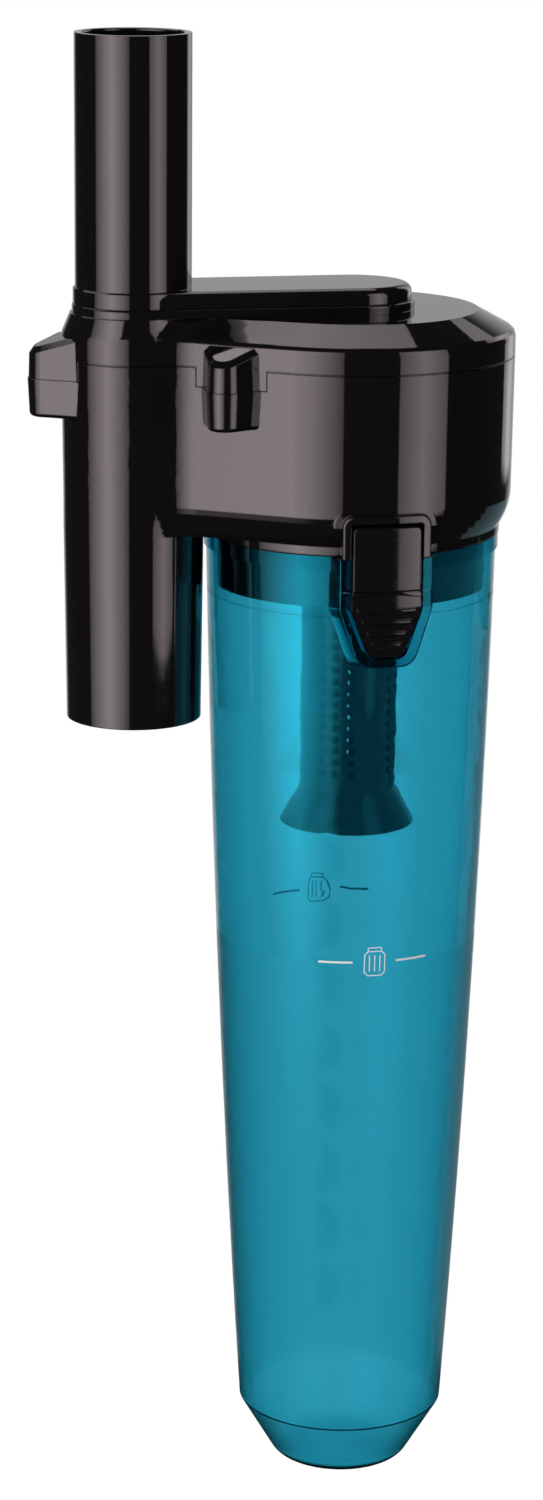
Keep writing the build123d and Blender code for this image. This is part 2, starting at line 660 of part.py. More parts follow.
def make_latch():
    """Rocker with a curved plate and hook above its pivot and a ribbed grip below."""
    behind = make_face(Polyline(
        (0, latch_top_z), (-latch_back, latch_top_z), (-latch_back, pivot_z),
        (GRIP_LEAN - latch_back, grip_end_z), (0, grip_end_z), close=True
    ))
    behind = Pos(axis_spacing - LATCH_WIDTH / 2, 0, 0) * extrude(Plane.YZ * behind, amount=LATCH_WIDTH)
    latch = latch_front() - behind
    latch = fillet(latch.edges().filter_by(Axis.Y).group_by(Axis.Z)[-1], LATCH_CORNER_R)
    plate = latch.faces().filter_by(GeomType.CYLINDER).sort_by(SortBy.AREA)[-1]
    latch = chamfer(plate.edges(), LATCH_EDGE)
    barrel = pin_bar(BARREL_R, LATCH_WIDTH / 2)
    latch += barrel & column(axis_spacing, latch_face - LATCH_EDGE, pivot_z - BARREL_R, pivot_z + BARREL_R)
    hook_length = LATCH_THICKNESS / 2 + HOOK_REACH
    hook = Box(HOOK_WIDTH, hook_length, HOOK_HEIGHT, align=(Align.CENTER, Align.MAX, Align.MIN))
    latch += Pos(axis_spacing, HOOK_REACH - latch_back, catch_z + HOOK_CLEARANCE) * hook
    latch -= pin_bar(PIN_R + PIN_CLEARANCE, LATCH_WIDTH / 2)
    seat_r = SPRING_R + SPRING_WIRE + SPRING_CLEARANCE
    seat = Cylinder(seat_r, LATCH_THICKNESS, align=ON_BASE)
    return latch - Pos(axis_spacing, -spring_seat, spring_z) * Rot(-90, 0, 0) * seat


def make_latch_spring():
    """Compression spring between the front grip's back and the cup's side."""
    start = cup_radius(spring_z) + SPRING_CLEARANCE
    rise = spring_seat - SEAL_CLEARANCE - start - SPRING_WIRE
    path = Helix(pitch=rise / SPRING_TURNS, height=rise, radius=SPRING_R)
    wire = Plane(path @ 0, z_dir=path % 0) * RegularPolygon(SPRING_WIRE / 2, WIRE_SIDES)
    coil = sweep(wire, path=path, is_frenet=True)
    return Pos(axis_spacing, -start - SPRING_WIRE / 2, spring_z) * Rot(90, 0, 0) * coil


def make_latch_pin():
    return pin_bar(PIN_R, pocket_half + POCKET_WALL - PIN_INSET)


def make_cover_gasket(clearance):
    """Cord in the housing's top edge."""
    inner = GASKET_INSET + GASKET_WIDTH + clearance
    return keyhole_band(GASKET_INSET - clearance, inner, parting_z - GASKET_DEPTH, parting_z)


def make_cup_seal(clearance):
    """Ring in the housing's underside that the cup's rim closes against."""
    inner = skirt_r + CUP_SEAL_INSET
    low = rim_z + SEAL_CLEARANCE
    return ring(inner - clearance, inner + CUP_SEAL_WIDTH + clearance, low, low + CUP_SEAL_HEIGHT)


def make_filter_seal():
    """Ring between the screen's top and the cover."""
    inner = collar_r + SEAL_CLEARANCE
    return ring(inner, screen_r, screen_top_z, screen_top_z + FILTER_SEAL_HEIGHT)


def make_filter_screen():
    """Tube with panels of small holes, slipped over the cover's collar."""
    screen = ring(screen_r - SCREEN_WALL, screen_r, screen_foot_z, screen_top_z)
    hole = Rot(0, 90, 0) * extrude(RegularPolygon(HOLE_R, HOLE_SIDES), amount=2 * screen_r)
    holes = []
    for panel in range(HOLE_PANELS):
        for step in range(HOLE_COLUMNS):
            turn = HOLE_TURN + 360 / HOLE_PANELS * panel + HOLE_COLUMN_TURN * (step - (HOLE_COLUMNS - 1) / 2)
            for row in range(HOLE_ROWS):
                z = screen_foot_z + HOLE_MARGIN + row * HOLE_ROW_PITCH
                holes.append(Pos(axis_spacing, 0, z) * Rot(0, 0, turn) * hole)
    return screen - holes


def make_filter_cone():
    """Flared cap that plugs the screen's lower end."""
    plug_z = screen_foot_z + PLUG_HEIGHT
    plug_r = screen_r - SCREEN_WALL - SCREEN_CLEARANCE
    cone_z = screen_foot_z - CONE_HEIGHT
    under_z = screen_foot_z - CONE_WALL
    return turned([
        (0, plug_z), (plug_r, plug_z), (plug_r, screen_foot_z), (screen_r, screen_foot_z),
        (cone_r, cone_z), (cone_r - CONE_WALL, cone_z), (screen_r - CONE_WALL, under_z), (0, under_z),
    ])


def make_cover_screws():
    screws = []
    for place in boss_places():
        head = screw_bar(SCREW_HEAD_R, screw_seat_z - SCREW_HEAD_HEIGHT, screw_seat_z)
        screws.append(place * (head + screw_bar(SCREW_R, screw_seat_z, screw_tip_z)))
    return Compound(children=screws)


front_latch = make_latch()
front_pin = make_latch_pin()
front_spring = make_latch_spring()
parts = {
    "outlet_hood": make_outlet_hood(),
    "cover": make_cover(),
    "cover_gasket": make_cover_gasket(0),
    "cover_screws": make_cover_screws(),
    "housing": make_housing(),
    "cup_seal": make_cup_seal(0),
    "filter_seal": make_filter_seal(),
    "filter_screen": make_filter_screen(),
    "filter_cone": make_filter_cone(),
    "dust_cup": make_dust_cup(),
    "front_latch": front_latch,
    "front_latch_pin": front_pin,
    "front_latch_spring": front_spring,
    "rear_latch": about_cup(front_latch, 180),
    "rear_latch_pin": about_cup(front_pin, 180),
    "rear_latch_spring": about_cup(front_spring, 180),
}
os.makedirs("parts", exist_ok=True)
for name, shape in parts.items():
    export_step(shape, f"parts/{name}.step")
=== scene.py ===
# %% [markdown]
# # A cyclone pre-separator in a photo studio
# The part comes from CAD as sixteen named pieces that already have their true size and place.
# Blender's work is to give them their finishes, to print the two level marks on the cup, and to
# light them as a product photographer would. Nothing here moves or reshapes a CAD piece.

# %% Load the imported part
import math

import bpy
from mathutils import Matrix, Vector
from mathutils.bvhtree import BVHTree


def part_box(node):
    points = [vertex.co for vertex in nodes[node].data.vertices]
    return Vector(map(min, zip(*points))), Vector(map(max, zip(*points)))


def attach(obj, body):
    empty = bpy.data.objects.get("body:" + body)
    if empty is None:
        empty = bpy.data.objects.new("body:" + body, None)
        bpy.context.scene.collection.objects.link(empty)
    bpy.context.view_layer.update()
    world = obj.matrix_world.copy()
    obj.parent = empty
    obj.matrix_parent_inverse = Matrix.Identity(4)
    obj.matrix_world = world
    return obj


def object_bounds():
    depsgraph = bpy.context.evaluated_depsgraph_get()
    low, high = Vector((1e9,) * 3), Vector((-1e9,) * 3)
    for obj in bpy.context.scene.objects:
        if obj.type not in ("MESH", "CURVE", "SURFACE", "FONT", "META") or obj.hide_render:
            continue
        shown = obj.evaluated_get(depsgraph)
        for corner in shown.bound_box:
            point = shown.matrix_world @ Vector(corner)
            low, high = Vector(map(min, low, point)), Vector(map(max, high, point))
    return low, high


MM = 0.001
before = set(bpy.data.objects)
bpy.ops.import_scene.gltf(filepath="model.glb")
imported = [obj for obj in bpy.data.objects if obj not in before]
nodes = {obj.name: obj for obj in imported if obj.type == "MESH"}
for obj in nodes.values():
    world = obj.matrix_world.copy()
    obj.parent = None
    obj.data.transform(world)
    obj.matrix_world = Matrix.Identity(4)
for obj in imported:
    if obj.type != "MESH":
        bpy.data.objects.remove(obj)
cad_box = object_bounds()
_, cup_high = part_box("dust_cup")
screen_low, screen_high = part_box("filter_screen")
cup_axis = (screen_low + screen_high) / 2
cad_size = [round(side / MM, 1) for side in cad_box[1] - cad_box[0]]
print("CAD nodes:", len(nodes), "size in mm:", cad_size)

# %% [markdown]
# ## Colour and node helpers
# Colours are easiest to pick as the hex codes that any paint program shows. Those codes are sRGB,
# and a shader works in linear light, so one function converts them. The second function adds a
# shader node: it takes the node's settings by name, and for each input socket either a plain value
# or another node's output to link. The third gives a material or a world an empty node tree.

# %% Helpers
def linear(hex_code, alpha=1.0):
    channels = [int(hex_code[i:i + 2], 16) / 255 for i in (1, 3, 5)]
    return tuple(
        c / 12.92 if c <= 0.04045 else ((c + 0.055) / 1.055) ** 2.4 for c in channels
    ) + (alpha,)


def add(tree, kind, inputs=None, **settings):
    node = tree.nodes.new(kind)
    for name, value in settings.items():
        setattr(node, name, value)
    for socket, value in (inputs or {}).items():
        if isinstance(value, bpy.types.NodeSocket):
            tree.links.new(value, node.inputs[socket])
        else:
            node.inputs[socket].default_value = value
    return node


def empty_tree(owner):
    owner.use_nodes = True
    owner.node_tree.nodes.clear()
    return owner.node_tree


print("the middle grey #808080 is", round(linear("#808080")[0], 3), "in linear light")

# %% [markdown]
# ## Moulded ABS
# The hood, cover, housing and latches are black ABS from a polished tool, with the latches a little
# duller. What the eye sees is not the black itself but sharp reflections of the studio lamps. Two
# things keep such a surface from looking like glass: a slight waviness where the plastic shrank as
# it cooled, about a centimetre from crest to crest, and a haze of fine handling marks that makes the
# gloss vary a little. A moulding has no perfectly sharp edge either. The Bevel node shades each edge
# as if it were rounded by 0.4 mm, and that thin round catches the light. The mesh stays as it is.

# %% Gloss black ABS
SHRINK_WAVE = 14 * MM
WAVE_DEPTH = 0.03 * MM
WAVE_STRENGTH = 0.5
HANDLING_MARK = 1.6 * MM
MARK_RANGE = (0.35, 0.7)
EDGE_ROUND = 0.4 * MM
ABS_IOR = 1.54
POLISHED = (0.03, 0.06)
SATIN = (0.07, 0.12)


def moulded_abs(name, gloss_range):
    material = bpy.data.materials.new(name)
    tree = empty_tree(material)
    place = add(tree, "ShaderNodeTexCoord").outputs["Object"]
    waves = add(tree, "ShaderNodeTexNoise", {
        "Vector": place, "Scale": 1 / SHRINK_WAVE, "Detail": 1.0,
    })
    edges = add(tree, "ShaderNodeBevel", {"Radius": EDGE_ROUND})
    bump = add(tree, "ShaderNodeBump", {
        "Height": waves.outputs["Fac"], "Distance": WAVE_DEPTH, "Strength": WAVE_STRENGTH,
        "Normal": edges.outputs["Normal"],
    })
    marks = add(tree, "ShaderNodeTexNoise", {
        "Vector": place, "Scale": 1 / HANDLING_MARK, "Detail": 4.0,
    })
    rough = add(tree, "ShaderNodeMapRange", {
        "Value": marks.outputs["Fac"], "From Min": MARK_RANGE[0], "From Max": MARK_RANGE[1],
        "To Min": gloss_range[0], "To Max": gloss_range[1],
    })
    shader = add(tree, "ShaderNodeBsdfPrincipled", {
        "Base Color": linear("#0C0B0D"), "IOR": ABS_IOR, "Specular Tint": linear("#FFF3F6"),
        "Roughness": rough.outputs["Result"], "Normal": bump.outputs["Normal"],
    })
    add(tree, "ShaderNodeOutputMaterial", {"Surface": shader.outputs["BSDF"]})
    return material


gloss_abs = moulded_abs("moulded gloss ABS", POLISHED)
latch_abs = moulded_abs("moulded satin ABS", SATIN)
print("made", gloss_abs.name, "and", latch_abs.name)

# %% [markdown]
# ## Where the cup is frosted
# The cup's tool was polished for the upper part and blasted below the level mark, on the outside
# only. A height mask gives the step. To tell the outside from the inside, the shader asks whether
# the surface's normal points away from the cup's axis. Blender turns the normal round when a ray
# meets a face from behind, from within the plastic, so Backfacing sets its sign right.

# %% Mask for the blasted face
FROST_TOP = -219.75 * MM
FROST_BLUR = 0.6 * MM


def blasted_face(tree, place):
    """A socket that is 1 on the outer face below the level mark and 0 elsewhere."""
    height = add(tree, "ShaderNodeSeparateXYZ", {"Vector": place}).outputs["Z"]
    frost = add(tree, "ShaderNodeMapRange", {
        "Value": height, "From Min": FROST_TOP - FROST_BLUR, "From Max": FROST_TOP,
        "To Min": 1.0, "To Max": 0.0,
    })
    face = add(tree, "ShaderNodeNewGeometry")
    from_axis = add(tree, "ShaderNodeVectorMath", {
        0: place, 1: (cup_axis.x, cup_axis.y, 0),
    }, operation="SUBTRACT")
    level_way = add(tree, "ShaderNodeVectorMath", {
        0: from_axis.outputs["Vector"], 1: (1, 1, 0),
    }, operation="MULTIPLY")
    lean = add(tree, "ShaderNodeVectorMath", {
        0: face.outputs["Normal"], 1: level_way.outputs["Vector"],
    }, operation="DOT_PRODUCT")
    side = add(tree, "ShaderNodeMapRange", {
        "Value": face.outputs["Backfacing"], "To Min": 1.0, "To Max": -1.0,
    })
    turned_out = add(tree, "ShaderNodeMath", {
        0: lean.outputs["Value"], 1: side.outputs["Result"],
    }, operation="MULTIPLY")
    outer = add(tree, "ShaderNodeMath", {
        0: turned_out.outputs["Value"], 1: 0.0,
    }, operation="GREATER_THAN")
    blast = add(tree, "ShaderNodeMath", {
        0: frost.outputs["Result"], 1: outer.outputs["Value"],
    }, operation="MULTIPLY")
    return blast.outputs["Value"]


print("frosted below", round(FROST_TOP / MM, 2), "mm")

# %% [markdown]
# ## Tinted polycarbonate
# The dust cup is polycarbonate with a teal dye all through it. A dyed plastic gets its colour from
# the depth of plastic that light crosses, so the wall looks pale face on and deep at the edges,
# where the line of sight runs along it. A base colour on the surface can't do that, so the surface
# has only a trace of tint and an absorbing volume holds the dye. In the photo the lamps' reflections
# on the cup are teal as well, and the specular tint gives them that colour.

# %% Teal polycarbonate
BLAST_GRIT = 1.0 * MM
CLEAR_ROUGHNESS = 0.03
BLASTED_ROUGHNESS = (0.2, 0.26)
POLYCARBONATE_IOR = 1.585
DYE_COLOUR = "#59E0E7"
DYE_DENSITY = 1000.0


def tinted_polycarbonate():
    material = bpy.data.materials.new("tinted polycarbonate")
    tree = empty_tree(material)
    place = add(tree, "ShaderNodeTexCoord").outputs["Object"]
    grit = add(tree, "ShaderNodeTexNoise", {
        "Vector": place, "Scale": 1 / BLAST_GRIT, "Detail": 2.0,
    })
    blasted = add(tree, "ShaderNodeMapRange", {
        "Value": grit.outputs["Fac"],
        "To Min": BLASTED_ROUGHNESS[0], "To Max": BLASTED_ROUGHNESS[1],
    })
    rough = add(tree, "ShaderNodeMix", {
        "Factor": blasted_face(tree, place), "A": CLEAR_ROUGHNESS, "B": blasted.outputs["Result"],
    })
    shader = add(tree, "ShaderNodeBsdfPrincipled", {
        "Base Color": linear("#F7F7FF"), "IOR": POLYCARBONATE_IOR, "Transmission Weight": 1.0,
        "Roughness": rough.outputs["Result"], "Specular Tint": linear("#30E1FF"),
    })
    dye = add(tree, "ShaderNodeVolumeAbsorption", {
        "Color": linear(DYE_COLOUR), "Density": DYE_DENSITY,
    })
    add(tree, "ShaderNodeOutputMaterial", {
        "Surface": shader.outputs["BSDF"], "Volume": dye.outputs["Volume"],
    })
    return material


cup_plastic = tinted_polycarbonate()
print("made", cup_plastic.name)

# %% [markdown]
# ## Rubber, steel and ink
# The seals are matt black rubber, with the faint grain of a moulded strip. The screws are steel with
# a bright zinc finish, whose crystals show as patches about half a millimetre wide. The pins and
# springs are steel with a black oxide finish, so they stay quiet behind the clear cup. The marks on
# the cup are a silver ink, a little rough, so that they catch the light as a soft patch.

# %% Four grained finishes
GRAIN_DEPTH = 0.02 * MM
GRAIN_STRENGTH = 0.4


def grained(name, dark, light, grain, shader_inputs):
    """A finish whose colour and relief both follow one grain of a given size."""
    material = bpy.data.materials.new(name)
    tree = empty_tree(material)
    place = add(tree, "ShaderNodeTexCoord").outputs["Object"]
    noise = add(tree, "ShaderNodeTexNoise", {
        "Vector": place, "Scale": 1 / grain, "Detail": 3.0,
    }).outputs["Fac"]
    tone = add(tree, "ShaderNodeMix", {
        "Factor": noise, "A": linear(dark), "B": linear(light),
    }, data_type="RGBA")
    bump = add(tree, "ShaderNodeBump", {
        "Height": noise, "Distance": GRAIN_DEPTH, "Strength": GRAIN_STRENGTH,
    })
    shader = add(tree, "ShaderNodeBsdfPrincipled", {
        "Base Color": tone.outputs["Result"], "Normal": bump.outputs["Normal"], **shader_inputs,
    })
    add(tree, "ShaderNodeOutputMaterial", {"Surface": shader.outputs["BSDF"]})
    return material


seal_rubber = grained(
    "moulded rubber", "#121213", "#1C1C1D", 0.4 * MM, {"Roughness": 0.75, "IOR": 1.52})
zinc_steel = grained(
    "zinc-plated steel", "#A9ADB0", "#C6C9CB", 0.5 * MM, {"Roughness": 0.28, "Metallic": 1.0})
oxide_steel = grained(
    "black-oxide steel", "#1E1F21", "#2B2C2F", 0.5 * MM, {"Roughness": 0.35, "Metallic": 1.0})
silver_ink = grained(
    "silver ink", "#C9CDCF", "#E4E6E6", 0.3 * MM, {"Roughness": 0.45, "IOR": 1.5})
print("made", seal_rubber.name, zinc_steel.name, oxide_steel.name, silver_ink.name, sep=", ")

# %% [markdown]
# ## Dress the CAD pieces
# A CAD object keeps its mesh, and only its material slot is filled. Each row has a finish on the
# left, and on the right the pieces that have it.

# %% Give each piece its finish
FINISHES = [
    (gloss_abs, ["outlet_hood", "cover", "housing", "filter_screen", "filter_cone"]),
    (latch_abs, ["front_latch", "rear_latch"]),
    (cup_plastic, ["dust_cup"]),
    (seal_rubber, ["cover_gasket", "cup_seal", "filter_seal"]),
    (zinc_steel, ["cover_screws"]),
    (oxide_steel, [
        "front_latch_pin", "rear_latch_pin", "front_latch_spring", "rear_latch_spring",
    ]),
]
for finish, names in FINISHES:
    for name in names:
        nodes[name].data.materials.clear()
        nodes[name].data.materials.append(finish)
print("dressed", sum(len(names) for _, names in FINISHES), "pieces")

# %% [markdown]
# ## Printed level marks
# A mark is two dashes with a small bin between them, on the front of the cup and again on the back.
# Ink lies on the surface as a film, so each stroke becomes a narrow ribbon that follows the cup. The
# stroke is drawn flat, with lengths along and up, then wrapped: the length along becomes an angle
# about the cup's axis, and a ray towards that axis finds the wall.

# %% Ribbons that follow the cup
INK_FILM = 0.06 * MM
STROKE_STEP = 0.8 * MM
RAY_CLEARANCE = 20 * MM
cup_mesh = nodes["dust_cup"].data
cup_tree = BVHTree.FromPolygons(
    [v.co for v in cup_mesh.vertices], [p.vertices for p in cup_mesh.polygons])
clear_of_cup = cup_high.x - cup_axis.x + RAY_CLEARANCE


def on_cup(along, up, turn):
    """The point of the cup's wall, in ink, for a flat drawing centred on the level mark."""
    height = FROST_TOP + up
    face = Vector((math.sin(turn), -math.cos(turn), 0))
    centre = Vector((cup_axis.x, cup_axis.y, height))
    radius = (cup_tree.ray_cast(centre + face * clear_of_cup, -face)[0] - centre).length
    angle = turn + along / radius
    out = Vector((math.sin(angle), -math.cos(angle), 0))
    return centre + out * (radius + INK_FILM)


def ribbon(points, width, turn):
    """Vertices and faces of one stroke of a width through flat points."""
    fine = [points[0]]
    for a, b in zip(points, points[1:]):
        steps = max(1, round((b - a).length / STROKE_STEP))
        fine += [a.lerp(b, (i + 1) / steps) for i in range(steps)]
    vertices = []
    for i, point in enumerate(fine):
        run = (fine[min(i + 1, len(fine) - 1)] - fine[max(i - 1, 0)]).normalized()
        side = Vector((-run.y, run.x)) * width / 2
        vertices += [on_cup(*(point + side), turn), on_cup(*(point - side), turn)]
    faces = [(2 * i, 2 * i + 1, 2 * i + 3, 2 * i + 2) for i in range(len(fine) - 1)]
    return vertices, faces


ink_radius = (on_cup(0, 0, 0) - Vector((cup_axis.x, cup_axis.y, FROST_TOP))).length
print("the ink lies", round(ink_radius / MM, 2), "mm from the cup's axis")

# %% [markdown]
# ## Draw the bin and the dashes
# The bin is a jar shape: a flat foot with cut corners, straight sides, shoulders that slope in to a
# lid, and three upright lines. All of it is drawn from half widths and heights about the middle of
# the mark. The bin's lines are half as wide as the dashes.

# %% The two level marks
DASH_STROKE = 0.6 * MM
BIN_STROKE = 0.3 * MM
DASH = 9.6 * MM
DASH_GAP = 6.2 * MM
BIN_HALF = 2.9 * MM
BIN_TOP = 3.1 * MM
BIN_FOOT = -4.0 * MM
BIN_CORNER = 1.0 * MM
LID_HALF = 1.9 * MM
LID_TOP = 4.2 * MM
LINE_SPACING = 1.5 * MM
LINE_TOP = 2.0 * MM
LINE_FOOT = -2.8 * MM


def level_mark_strokes():
    """Each stroke of a mark as its width and its flat points."""
    right = [
        (0, BIN_FOOT), (BIN_HALF - BIN_CORNER, BIN_FOOT), (BIN_HALF, BIN_FOOT + BIN_CORNER),
        (BIN_HALF, BIN_TOP - BIN_CORNER), (LID_HALF, BIN_TOP), (0, BIN_TOP),
    ]
    body = right + [(-x, y) for x, y in reversed(right[1:-1])] + right[:1]
    lid = [
        (LID_HALF, BIN_TOP), (LID_HALF, LID_TOP), (-LID_HALF, LID_TOP), (-LID_HALF, BIN_TOP),
    ]
    lines = [[(x, LINE_FOOT), (x, LINE_TOP)] for x in (-LINE_SPACING, 0, LINE_SPACING)]
    dashes = [[(side * DASH_GAP, 0), (side * (DASH_GAP + DASH), 0)] for side in (-1, 1)]
    strokes = [(BIN_STROKE, stroke) for stroke in [body, lid, *lines]]
    strokes += [(DASH_STROKE, stroke) for stroke in dashes]
    return [(width, [Vector(point) for point in stroke]) for width, stroke in strokes]


def level_mark(name, turn):
    vertices, faces = [], []
    for width, stroke in level_mark_strokes():
        more_vertices, more_faces = ribbon(stroke, width, turn)
        faces += [[i + len(vertices) for i in face] for face in more_faces]
        vertices += more_vertices
    mesh = bpy.data.meshes.new(name)
    mesh.from_pydata(vertices, [], faces)
    mesh.materials.append(silver_ink)
    mark = bpy.data.objects.new(name, mesh)
    bpy.context.scene.collection.objects.link(mark)
    film = mark.modifiers.new("ink film", "SOLIDIFY")
    film.thickness = INK_FILM / 2
    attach(mark, "cup")
    print(name, "has", len(faces), "faces")
    return mark


front_level_mark = level_mark("front_level_mark", 0.0)
rear_level_mark = level_mark("rear_level_mark", math.pi)

# %% [markdown]
# ## The camera
# The photo was taken with a long lens from a little above and to the left. A long lens keeps upright
# lines almost parallel. Three angles say where the camera looks: its heading from the part's front,
# its pitch down, and a slight roll.

# %% Camera
CAMERA_PLACE = Vector((-177.6, -1047.0, 113.55)) * MM
CAMERA_HEADING = math.radians(11.72)
CAMERA_PITCH = math.radians(-14.71)
CAMERA_ROLL = math.radians(0.47)
LENS_MM = 93.46
SENSOR_MM = 36.0

forward = Vector((
    math.sin(CAMERA_HEADING) * math.cos(CAMERA_PITCH),
    math.cos(CAMERA_HEADING) * math.cos(CAMERA_PITCH),
    math.sin(CAMERA_PITCH),
))
camera_data = bpy.data.cameras.new("camera")
camera_data.lens = LENS_MM
camera_data.sensor_width = SENSOR_MM
camera = bpy.data.objects.new("camera", camera_data)
camera.matrix_world = (
    Matrix.Translation(CAMERA_PLACE)
    @ forward.to_track_quat("-Z", "Y").to_matrix().to_4x4()
    @ Matrix.Rotation(CAMERA_ROLL, 4, "Z")
)
bpy.context.scene.collection.objects.link(camera)
bpy.context.scene.camera = camera
print("camera looks along", [round(c, 4) for c in forward])

# %% [markdown]
# ## Three ways of seeing
# A product photo asks for a room that is white to look at but mostly dark in reflections. Blender's
# Light Path node tells a shader how a ray got there. A ray from the camera, or one that has passed
# through clear plastic, counts as seen. A ray that has bounced off something glossy counts as
# mirrored. A ray that is seen and not mirrored is a straight view. The lamps, the floor and the room
# all use these answers.

# %% Ask how the ray came
def ways_of_seeing(tree):
    """Three sockets, each 0 or 1: a straight view, a seen view and a mirror image."""
    path = add(tree, "ShaderNodeLightPath")
    mirrored = add(tree, "ShaderNodeMath", {
        0: path.outputs["Glossy Depth"], 1: 1.0,
    }, operation="MINIMUM")
    seen = add(tree, "ShaderNodeMath", {
        0: path.outputs["Is Camera Ray"], 1: path.outputs["Transmission Depth"],
    }, operation="MAXIMUM", use_clamp=True)
    straight = add(tree, "ShaderNodeMath", {
        0: seen.outputs["Value"], 1: mirrored.outputs["Value"],
    }, operation="SUBTRACT", use_clamp=True)
    return straight.outputs["Value"], seen.outputs["Value"], mirrored.outputs["Value"]


print("a shader can ask for:", "straight, seen, mirrored")

# %% [markdown]
# ## A panel of light
# Black gloss plastic shows the lamps and little else, so the lamps are large flat panels. A real soft
# box is brightest in the middle, so a panel's glow falls off towards its sides. Over its foot the
# glow rises from nothing, which lets the lower end of a reflection fade out. The camera can't see the
# panels, and in a straight view through the cup they look as white as the room.

# %% Panels that glow
LAMP_WHITE = "#FFFAFB"
PANEL_DISTANCE = 1.6
PANEL_AIM = Vector((cup_axis.x, cup_axis.y, -0.1))
to_camera = Vector((-math.sin(CAMERA_HEADING), -math.cos(CAMERA_HEADING), 0))
to_right = Vector((math.cos(CAMERA_HEADING), -math.sin(CAMERA_HEADING), 0))


def glow(name, colour, edge, middle, foot):
    """Emission that falls from the middle of a panel's width to its sides, and over its foot."""
    material = bpy.data.materials.new(name)
    tree = empty_tree(material)
    straight, _, _ = ways_of_seeing(tree)
    place = add(tree, "ShaderNodeTexCoord").outputs["Generated"]
    along = add(tree, "ShaderNodeSeparateXYZ", {"Vector": place})
    inward = add(tree, "ShaderNodeMath", {0: along.outputs["X"], 1: 0.5}, operation="PINGPONG")
    rise = add(tree, "ShaderNodeMapRange", {"Value": along.outputs["Y"], "From Max": foot})
    level = add(tree, "ShaderNodeMapRange", {
        "Value": inward.outputs["Value"], "From Min": 0.0, "From Max": 0.5,
        "To Min": edge, "To Max": middle,
    })
    lit = add(tree, "ShaderNodeMath", {
        0: level.outputs["Result"], 1: rise.outputs["Result"],
    }, operation="MULTIPLY")
    strength = add(tree, "ShaderNodeMix", {
        "Factor": straight, "A": lit.outputs["Value"], "B": 1.0,
    })
    light = add(tree, "ShaderNodeEmission", {
        "Color": linear(colour), "Strength": strength.outputs["Result"],
    })
    add(tree, "ShaderNodeOutputMaterial", {"Surface": light.outputs["Emission"]})
    return material


def panel(name, place, width, height, face_to, material):
    half_w, half_h = width / 2, height / 2
    corners = [
        (-half_w, -half_h, 0), (half_w, -half_h, 0), (half_w, half_h, 0), (-half_w, half_h, 0),
    ]
    mesh = bpy.data.meshes.new(name)
    mesh.from_pydata(corners, [], [(0, 1, 2, 3)])
    mesh.materials.append(material)
    lamp = bpy.data.objects.new(name, mesh)
    facing = (face_to - place).to_track_quat("Z", "Y").to_matrix().to_4x4()
    lamp.matrix_world = Matrix.Translation(place) @ facing
    lamp.visible_camera = False
    bpy.context.scene.collection.objects.link(lamp)
    return lamp


print("panels stand", PANEL_DISTANCE, "m from the cup's axis")

# %% [markdown]
# ## Place the panels
# Each panel stands where its mirror image falls in the photo: a broad one to the left, a narrow one
# to the right, a slim one behind on the right for the bright edge, and one overhead for the sloped
# roof. A weak one low down behind, with a pale blue-green gel, lights the cup's right edge. Angles
# go round the cup's axis from the camera, with the right positive. A panel's lower edge decides how
# far down its reflection reaches.

# %% Five soft boxes
SHARP_FOOT = 0.01
GEL = "#B4E4EE"
SIDE_PANELS = [
    # name, angles in degrees, low and high in m, glow at the sides and middle, foot share, colour
    ("left_panel", (-76, -7), (-0.85, 1.3), (0.8, 4.6), 0.16, LAMP_WHITE),
    ("right_panel", (32, 69), (-0.47, 1.3), (1.3, 3.0), SHARP_FOOT, LAMP_WHITE),
    ("edge_panel", (134, 156), (-0.3, 1.3), (0.8, 1.6), SHARP_FOOT, LAMP_WHITE),
    ("low_panel", (116, 160), (-1.5, -0.42), (0.4, 0.45), SHARP_FOOT, GEL),
]
ROOF_BACK, ROOF_LEFT, ROOF_ABOVE = 1.0, 0.6, 1.6
ROOF_WIDTH, ROOF_DEPTH = 2.0, 1.8
ROOF_GLOW = (1.4, 2.4)


def side_panel(name, angles, heights, levels, foot, colour):
    """An upright panel that fills the range of angles, seen from the part."""
    turn = math.radians(sum(angles) / 2)
    half = math.radians((angles[1] - angles[0]) / 2)
    out = to_camera * math.cos(turn) + to_right * math.sin(turn)
    aim = PANEL_AIM + Vector((0, 0, sum(heights) / 2))
    width = 2 * PANEL_DISTANCE * math.tan(half)
    height = heights[1] - heights[0]
    material = glow(name, colour, *levels, foot)
    return panel(name, aim + out * PANEL_DISTANCE, width, height, aim, material)


side_panels = [side_panel(*row) for row in SIDE_PANELS]
roof_place = PANEL_AIM - to_camera * ROOF_BACK - to_right * ROOF_LEFT + Vector((0, 0, ROOF_ABOVE))
roof_glow = glow("roof_panel", LAMP_WHITE, *ROOF_GLOW, SHARP_FOOT)
below_roof = roof_place - Vector((0, 0, 1))
roof_panel = panel("roof_panel", roof_place, ROOF_WIDTH, ROOF_DEPTH, below_roof, roof_glow)
print("panels:", ", ".join(lamp.name for lamp in [*side_panels, roof_panel]))

# %% [markdown]
# ## A small pale floor
# The part hangs over the floor, high enough for its cup to slide off. The floor is mostly plain
# white light, with enough ordinary shading left in it to keep the part's soft shadow. In mirror
# images it is dark. From below it is clear, so that the part's underside can be looked at.

# %% Floor
FLOOR_RADIUS = 300 * MM
FLOOR_SIDES = 96
FLOOR_GLOW = 0.82
FLOOR_LIGHT = 1.15
CUP_TRAVEL = 105 * MM


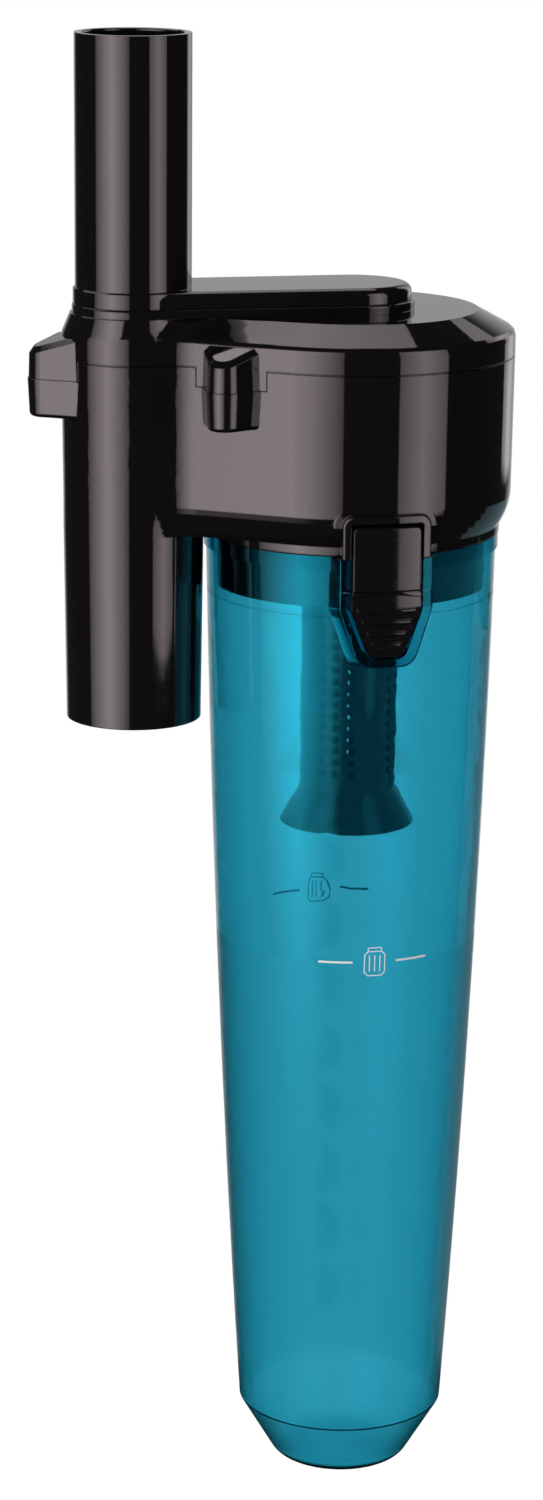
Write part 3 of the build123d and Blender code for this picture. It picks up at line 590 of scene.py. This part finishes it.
def pale_floor():
    material = bpy.data.materials.new("painted floor")
    tree = empty_tree(material)
    _, seen, mirrored = ways_of_seeing(tree)
    share = add(tree, "ShaderNodeMath", {0: seen, 1: FLOOR_GLOW}, operation="MULTIPLY")
    tone = add(tree, "ShaderNodeMix", {
        "Factor": mirrored, "A": linear("#F2F2F2"), "B": linear("#1A1A1B"),
    }, data_type="RGBA")
    paint = add(tree, "ShaderNodeBsdfDiffuse", {"Color": tone.outputs["Result"]})
    light = add(tree, "ShaderNodeEmission", {
        "Color": linear("#FFFFFF"), "Strength": FLOOR_LIGHT,
    })
    mixed = add(tree, "ShaderNodeMixShader", {
        0: share.outputs["Value"], 1: paint.outputs["BSDF"], 2: light.outputs["Emission"],
    })
    below = add(tree, "ShaderNodeNewGeometry").outputs["Backfacing"]
    clear = add(tree, "ShaderNodeBsdfTransparent")
    one_sided = add(tree, "ShaderNodeMixShader", {
        0: below, 1: mixed.outputs["Shader"], 2: clear.outputs["BSDF"],
    })
    add(tree, "ShaderNodeOutputMaterial", {"Surface": one_sided.outputs["Shader"]})
    return material


floor_height = cad_box[0].z - CUP_TRAVEL
turns = [2 * math.pi * i / FLOOR_SIDES for i in range(FLOOR_SIDES)]
ring = [
    (cup_axis.x + FLOOR_RADIUS * math.cos(turn), cup_axis.y + FLOOR_RADIUS * math.sin(turn),
     floor_height)
    for turn in turns
]
floor_mesh = bpy.data.meshes.new("floor")
floor_mesh.from_pydata(ring, [], [tuple(range(FLOOR_SIDES))])
floor_mesh.materials.append(pale_floor())
floor = bpy.data.objects.new("floor", floor_mesh)
bpy.context.scene.collection.objects.link(floor)
print("floor at", round(floor_height / MM, 1), "mm")

# %% [markdown]
# ## A white room
# The room is white for the camera and for light that comes through the cup. In other reflections
# only its far side is pale, because the photographer's side of a studio is dark, and that is what
# makes black plastic look black.

# %% White room
ROOM_FAR_SIDE = 0.6
ROOM_NEAR_SIDE = 0.03
ROOM_FADE = (0.8, 0.95)
room = bpy.data.worlds.new("white room")
bpy.context.scene.world = room
room_tree = empty_tree(room)
way = add(room_tree, "ShaderNodeTexCoord").outputs["Generated"]
away = add(room_tree, "ShaderNodeVectorMath", {
    0: way, 1: tuple(-to_camera),
}, operation="DOT_PRODUCT")
dim = add(room_tree, "ShaderNodeMapRange", {
    "Value": away.outputs["Value"], "From Min": ROOM_FADE[0], "From Max": ROOM_FADE[1],
    "To Min": ROOM_NEAR_SIDE, "To Max": ROOM_FAR_SIDE,
}, interpolation_type="SMOOTHSTEP")
_, room_seen, _ = ways_of_seeing(room_tree)
room_level = add(room_tree, "ShaderNodeMix", {
    "Factor": room_seen, "A": dim.outputs["Result"], "B": 1.0,
})
room_light = add(room_tree, "ShaderNodeBackground", {
    "Color": linear("#FFFFFF"), "Strength": room_level.outputs["Result"],
})
add(room_tree, "ShaderNodeOutputWorld", {"Surface": room_light.outputs["Background"]})
bpy.context.scene.view_settings.view_transform = "Standard"
print("room:", room.name)
